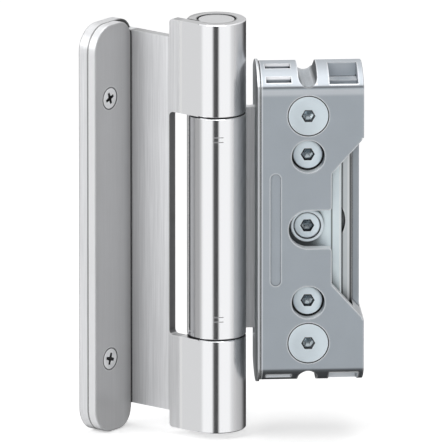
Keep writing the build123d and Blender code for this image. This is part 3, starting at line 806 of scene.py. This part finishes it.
class HINGE_OT_stage(bpy.types.Operator):
    """Make the camera, the lamps, the sky and the floor"""
    bl_idname = "hinge.stage"
    bl_label = "Studio"

    def execute(self, context):
        studio = context.scene.hinge_studio
        self.camera(context, studio)
        self.sky(context.scene, studio)
        self.floor(context, studio)
        self.lamp(context, "key_lamp", studio.key_power, size=0.9, place=(-1.1, -0.55, 0.72))
        self.lamp(context, "top_lamp", studio.top_power, size=1.0, place=(0.05, 0.15, 1.3))
        fill_lamp = self.lamp(context, "fill_lamp", studio.fill_power, size=0.4, place=(-0.06, -1.25, 0.3))
        fill_lamp.visible_glossy = False
        context.scene.view_settings.view_transform = "Standard"
        return {"FINISHED"}

    def camera(self, context, studio):
        away = Vector((-math.sin(studio.azimuth) * math.cos(studio.elevation),
                       -math.cos(studio.azimuth) * math.cos(studio.elevation), math.sin(studio.elevation)))
        lens = bpy.data.cameras.new("camera")
        lens.sensor_width = 36.0
        lens.lens = lens.sensor_width * studio.distance / studio.picture_width
        lens.clip_start, lens.clip_end = 0.1, 50.0
        camera = bpy.data.objects.new("camera", lens)
        camera.location = Vector(studio.target) + away * studio.distance
        camera.rotation_euler = (-away).to_track_quat("-Z", "Y").to_euler()
        context.scene.collection.objects.link(camera)
        context.scene.camera = camera

    def sky(self, scene, studio):
        """White for the camera, even for soft light, and a studio with strips for reflections."""
        world = bpy.data.worlds.new("studio")
        world.use_nodes = True
        scene.world = world
        recipe = Recipe(world.node_tree)
        x, y, z = recipe.axes(recipe.node("ShaderNodeTexCoord", output="Generated"))
        sine, cosine = math.sin(studio.azimuth), math.cos(studio.azimuth)
        bearing = recipe.math("ARCTAN2", x * cosine - y * sine, x * -sine - y * cosine)
        wall = recipe.node("ShaderNodeValToRGB", {"stops": STUDIO_WALL},
                           {"Fac": bearing * (0.5 / math.pi) + 0.5})
        studio_light = recipe.mix(recipe.step(z, -0.1, 0.1), wall, shade((0.68, 0.68, 0.68)))
        studio_light = recipe.mix(recipe.step(z, 0.35, 0.7), studio_light, WHITE)
        seen = recipe.math("MAXIMUM", recipe.ray("Camera"), recipe.ray("Transmission"))
        light = recipe.layers(shade((studio.sky_strength,) * 3), (recipe.ray("Glossy"), studio_light),
                              (seen, WHITE))
        background = recipe.node("ShaderNodeBackground", inputs={"Color": light, "Strength": 1.0})
        recipe.node("ShaderNodeOutputWorld", inputs={"Surface": background})

    def floor(self, context, studio):
        mesh = bpy.data.meshes.new("floor")
        shape = bmesh.new()
        bmesh.ops.create_grid(shape, x_segments=1, y_segments=1, size=studio.floor_reach,
                              matrix=Matrix.Translation((0, 0, cad_box[0].z - studio.floor_gap)))
        shape.to_mesh(mesh)
        shape.free()
        floor = bpy.data.objects.new("floor", mesh)
        context.scene.collection.objects.link(floor)
        material, recipe = finish("floor_white")
        paint = recipe.node("ShaderNodeBsdfDiffuse", inputs={"Color": shade(studio.floor_colour)})
        shine = recipe.mix(recipe.ray("Camera"), BLACK, shade((studio.floor_glow,) * 3))
        glow = recipe.node("ShaderNodeEmission", inputs={"Color": shine, "Strength": 1.0})
        both = recipe.node("ShaderNodeAddShader", inputs={0: paint, 1: glow})
        recipe.node("ShaderNodeOutputMaterial", inputs={"Surface": both})
        mesh.materials.append(material)
        floor.visible_glossy = False

    def lamp(self, context, name, power, size, place):
        """A square lamp that stands at a place beside the target and shines on it."""
        light = bpy.data.lights.new(name, "AREA")
        light.energy = power
        light.size = size
        lamp = bpy.data.objects.new(name, light)
        lamp.location = Vector(context.scene.hinge_studio.target) + Vector(place)
        lamp.rotation_euler = Vector(place).to_track_quat("Z", "Y").to_euler()
        context.scene.collection.objects.link(lamp)
        return lamp


class HINGE_OT_leaves(bpy.types.Operator):
    """Finish the two leaves, the cover plate, the pin and its bearings"""
    bl_idname = "hinge.leaves"
    bl_label = "Leaves and pin"

    def execute(self, context):
        steel = context.scene.hinge_steel
        receiver = context.scene.hinge_receiver
        frame_place = {"location": tuple(-PIVOT)}
        dress(leaf_steel("door_leaf_steel", steel, door_place(), steel.polish_edge), "door_leaf")
        dress(leaf_steel("frame_leaf_steel", steel, frame_place, steel.tongue_edge, True), "frame_leaf")
        dress(plate_steel("cover_steel", steel, door_place()), "cover_plate")
        dress(turned_steel("pin_steel", steel, PIVOT), "hinge_pin", "knuckle_cap")
        dress(plated("small_screw_steel", steel.brushed, steel.screw_roughness), "pin_set_screw")
        dress(bearing_plastic("bearing_plastic", receiver.bearing), "bush_top", "bush_bottom",
              "bush_middle_top", "bush_middle_bottom", "thrust_washer_top", "thrust_washer_bottom")
        return {"FINISHED"}


class HINGE_OT_receiver(bpy.types.Operator):
    """Finish the receiver and its slides"""
    bl_idname = "hinge.receiver"
    bl_label = "Receiver"

    def execute(self, context):
        receiver = context.scene.hinge_receiver
        dress(cast_zinc("zinc_casting", receiver.casting, receiver.casting_roughness, receiver, metal=0.5),
              "receiver_housing")
        dress(cast_zinc("coated_sheet", receiver.sheet, receiver.sheet_roughness, receiver, metal=0.85),
              "back_cover", "face_plate")
        # Painted lines on the clamp plate and slides: dark ones as shadow beside the front wall's waist, the clamp
        # plate's and the side wall's edges, light ones as highlights
        dress(plated("bright_zinc", receiver.sunk_zinc, receiver.bright_roughness, receiver.shade_reach, (
            (receiver.waist_edge, 0.0003, 0.75, 0.02),
            (receiver.clamp_edge - 0.0005, 0.0002, 0.6, 1.0))), "clamp_plate")
        dress(plated("plated_slide", receiver.slide, receiver.slide_roughness, receiver.shade_reach, (
            (receiver.clamp_edge + 0.0004, 0.0004, 0.75, 0.02),
            (receiver.bay_edge - 0.0005, 0.0004, 0.8, 0.02),
            (receiver.bay_edge - 0.0014, 0.0003, 0.5, 1.0))), "height_slide", "pressure_carriage")
        return {"FINISHED"}


class HINGE_OT_fixing_screws(bpy.types.Operator):
    """Make the two large flat screws with their threaded studs"""
    bl_idname = "hinge.fixing_screws"
    bl_label = "Fixing screws"

    def execute(self, context):
        sizes, receiver = context.scene.hinge_screws, context.scene.hinge_receiver
        plating = screw_plating("fixing_screw_zinc", receiver.bright_zinc, receiver.bright_roughness)
        root = sizes.stud_radius - sizes.thread_depth
        for end in ("top", "bottom"):
            low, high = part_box("fixing_screw_" + end)
            radius, tip = (high.x - low.x) / 2, low.y - high.y
            shape = bmesh.new()
            edges = key_head(shape, sizes, radius, sizes.fixing_chamfer)
            shank(shape, edges, (radius, -sizes.fixing_chamfer), (
                (radius, -sizes.fixing_head), (sizes.fixing_shank, -sizes.fixing_head),
                (sizes.fixing_shank, low.y), (root, low.y), (root, tip + sizes.stud_point),
                (root - sizes.stud_point, tip)))
            thread(shape, sizes.stud_radius, sizes.thread_depth + LIP, sizes.thread_pitch,
                   tip + sizes.stud_point, low.y)
            piece("fixing_screw_head_" + end, shape, in_front(low, high), plating,
                  "receiver", "fixing_screw_" + end)
        return {"FINISHED"}


class HINGE_OT_pressure_screws(bpy.types.Operator):
    """Make the two adjusting screws for the pressure on the seal"""
    bl_idname = "hinge.pressure_screws"
    bl_label = "Pressure screws"

    def execute(self, context):
        sizes, receiver = context.scene.hinge_screws, context.scene.hinge_receiver
        plating = screw_plating("pressure_screw_zinc", receiver.head_zinc, receiver.bright_roughness)
        radius = sizes.adjuster_radius
        for end in ("top", "bottom"):
            low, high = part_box("pressure_screw_" + end)
            collar = (high.x - low.x) / 2
            top, bottom = -sizes.collar_depth, -sizes.collar_depth - sizes.collar_height
            shape = bmesh.new()
            edges = key_head(shape, sizes, radius, sizes.adjuster_chamfer)
            # The head's side and collar are marked black: painted shadow in the gap round the head
            edges = follow(shape, edges, (radius, -sizes.adjuster_chamfer), (
                (radius, top), (collar, top), (collar, bottom), (radius, bottom),
                (radius, -sizes.adjuster_head)), 1.0)[1]
            shank(shape, edges, (radius, -sizes.adjuster_head), (
                (sizes.adjuster_shank, -sizes.adjuster_head),
                (sizes.adjuster_shank, low.y - high.y + sizes.tip_gap)))
            piece("pressure_screw_head_" + end, shape, in_front(low, high), plating,
                  "receiver", "pressure_screw_" + end)
        return {"FINISHED"}


class HINGE_OT_clamp_screw(bpy.types.Operator):
    """Make the clamp screw in the notch and its cup washer"""
    bl_idname = "hinge.clamp_screw"
    bl_label = "Clamp screw"

    def execute(self, context):
        sizes, receiver = context.scene.hinge_screws, context.scene.hinge_receiver
        plating = screw_plating("clamp_screw_zinc", receiver.head_zinc, receiver.bright_roughness)
        low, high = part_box("clamp_screw")
        radius = (high.x - low.x) / 2
        shape = bmesh.new()
        edges = key_head(shape, sizes, radius, sizes.adjuster_chamfer)
        shank(shape, edges, (radius, -sizes.adjuster_chamfer), (
            (radius, -sizes.clamp_head), (sizes.clamp_shank, -sizes.clamp_head),
            (sizes.clamp_shank, low.y - high.y)))
        piece("clamp_screw_head", shape, in_front(low, high), plating,
              "pressure_carriage", "clamp_screw")
        near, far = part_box("clamp_washer")
        shape = bmesh.new()
        cup(shape, sizes.cup_bore, radius + sizes.cup_gap, (far.x - near.x) / 2, far.y - near.y,
            far.y - low.y + sizes.cup_rim, sizes.cup_chamfer, sizes.segments)
        piece("clamp_cup", shape, in_front(far, near), plating,
              "pressure_carriage", "clamp_washer")
        return {"FINISHED"}


class HINGE_OT_cover_screws(bpy.types.Operator):
    """Make the two countersunk screws of the cover plate"""
    bl_idname = "hinge.cover_screws"
    bl_label = "Cover screws"

    def execute(self, context):
        sizes, steel = context.scene.hinge_screws, context.scene.hinge_steel
        plating = screw_plating("cover_screw_steel", steel.screw_steel, steel.screw_roughness)
        turn = Matrix.Rotation(-DOOR_TURN, 3, "Z")
        for end in ("top", "bottom"):
            local = [turn @ (point.co - PIVOT) for point in NODES["cover_screw_" + end].data.vertices]
            low = Vector([min(place[axis] for place in local) for axis in range(3)])
            high = Vector([max(place[axis] for place in local) for axis in range(3)])
            middle, radius, edge = (low + high) / 2, (high.y - low.y) / 2, sizes.cover_edge
            shape = bmesh.new()
            mouth = cross(shape, sizes.cross_length, sizes.cross_width, sizes.segments)
            # The head's rounded edge is marked black: painted shadow in the gap round the countersunk head
            edges = head(shape, mouth, radius, edge, sizes.segments, cross_recess(sizes), 1.0)
            shank(shape, edges, (radius, -edge), (
                (sizes.cover_shank, -edge - radius + sizes.cover_shank), (sizes.cover_shank, low.x - high.x)))
            place = (Matrix.Translation(PIVOT) @ Matrix.Rotation(DOOR_TURN, 4, "Z")
                     @ Matrix.Translation((low.x, middle.y, middle.z)) @ Matrix.Rotation(-math.pi / 2, 4, "Y")
                     @ Matrix.Rotation(getattr(sizes, "cross_turn_" + end), 4, "Z"))
            piece("cover_screw_head_" + end, shape, place, plating,
                  "door_leaf", "cover_screw_" + end)
        return {"FINISHED"}


class HINGE_PT_panel(bpy.types.Panel):
    """The hinge's steps in order"""
    bl_label = "Lift-off Hinge"
    bl_space_type = "VIEW_3D"
    bl_region_type = "UI"
    bl_category = "Hinge"

    def draw(self, context):
        for step in STEPS:
            self.layout.operator(step.bl_idname)
        for group in GROUPS:
            settings = getattr(context.scene, group)
            box = self.layout.box()
            for name in settings.__annotations__:
                box.prop(settings, name)


GROUPS = {"hinge_studio": StudioSettings, "hinge_steel": SteelFinish, "hinge_receiver": ReceiverFinish,
          "hinge_screws": ScrewSizes}
STEPS = (HINGE_OT_stage, HINGE_OT_leaves, HINGE_OT_receiver, HINGE_OT_fixing_screws, HINGE_OT_pressure_screws,
         HINGE_OT_clamp_screw, HINGE_OT_cover_screws)


def register():
    for kind in (*GROUPS.values(), *STEPS, HINGE_PT_panel):
        bpy.utils.register_class(kind)
    for name, kind in GROUPS.items():
        setattr(bpy.types.Scene, name, PointerProperty(type=kind))


def unregister():
    for name in GROUPS:
        delattr(bpy.types.Scene, name)
    for kind in reversed((*GROUPS.values(), *STEPS, HINGE_PT_panel)):
        bpy.utils.unregister_class(kind)


def main():
    register()
    bpy.ops.hinge.stage()
    bpy.ops.hinge.leaves()
    bpy.ops.hinge.receiver()
    bpy.ops.hinge.fixing_screws()
    bpy.ops.hinge.pressure_screws()
    bpy.ops.hinge.clamp_screw()
    bpy.ops.hinge.cover_screws()


if __name__ == "__main__":
    main()
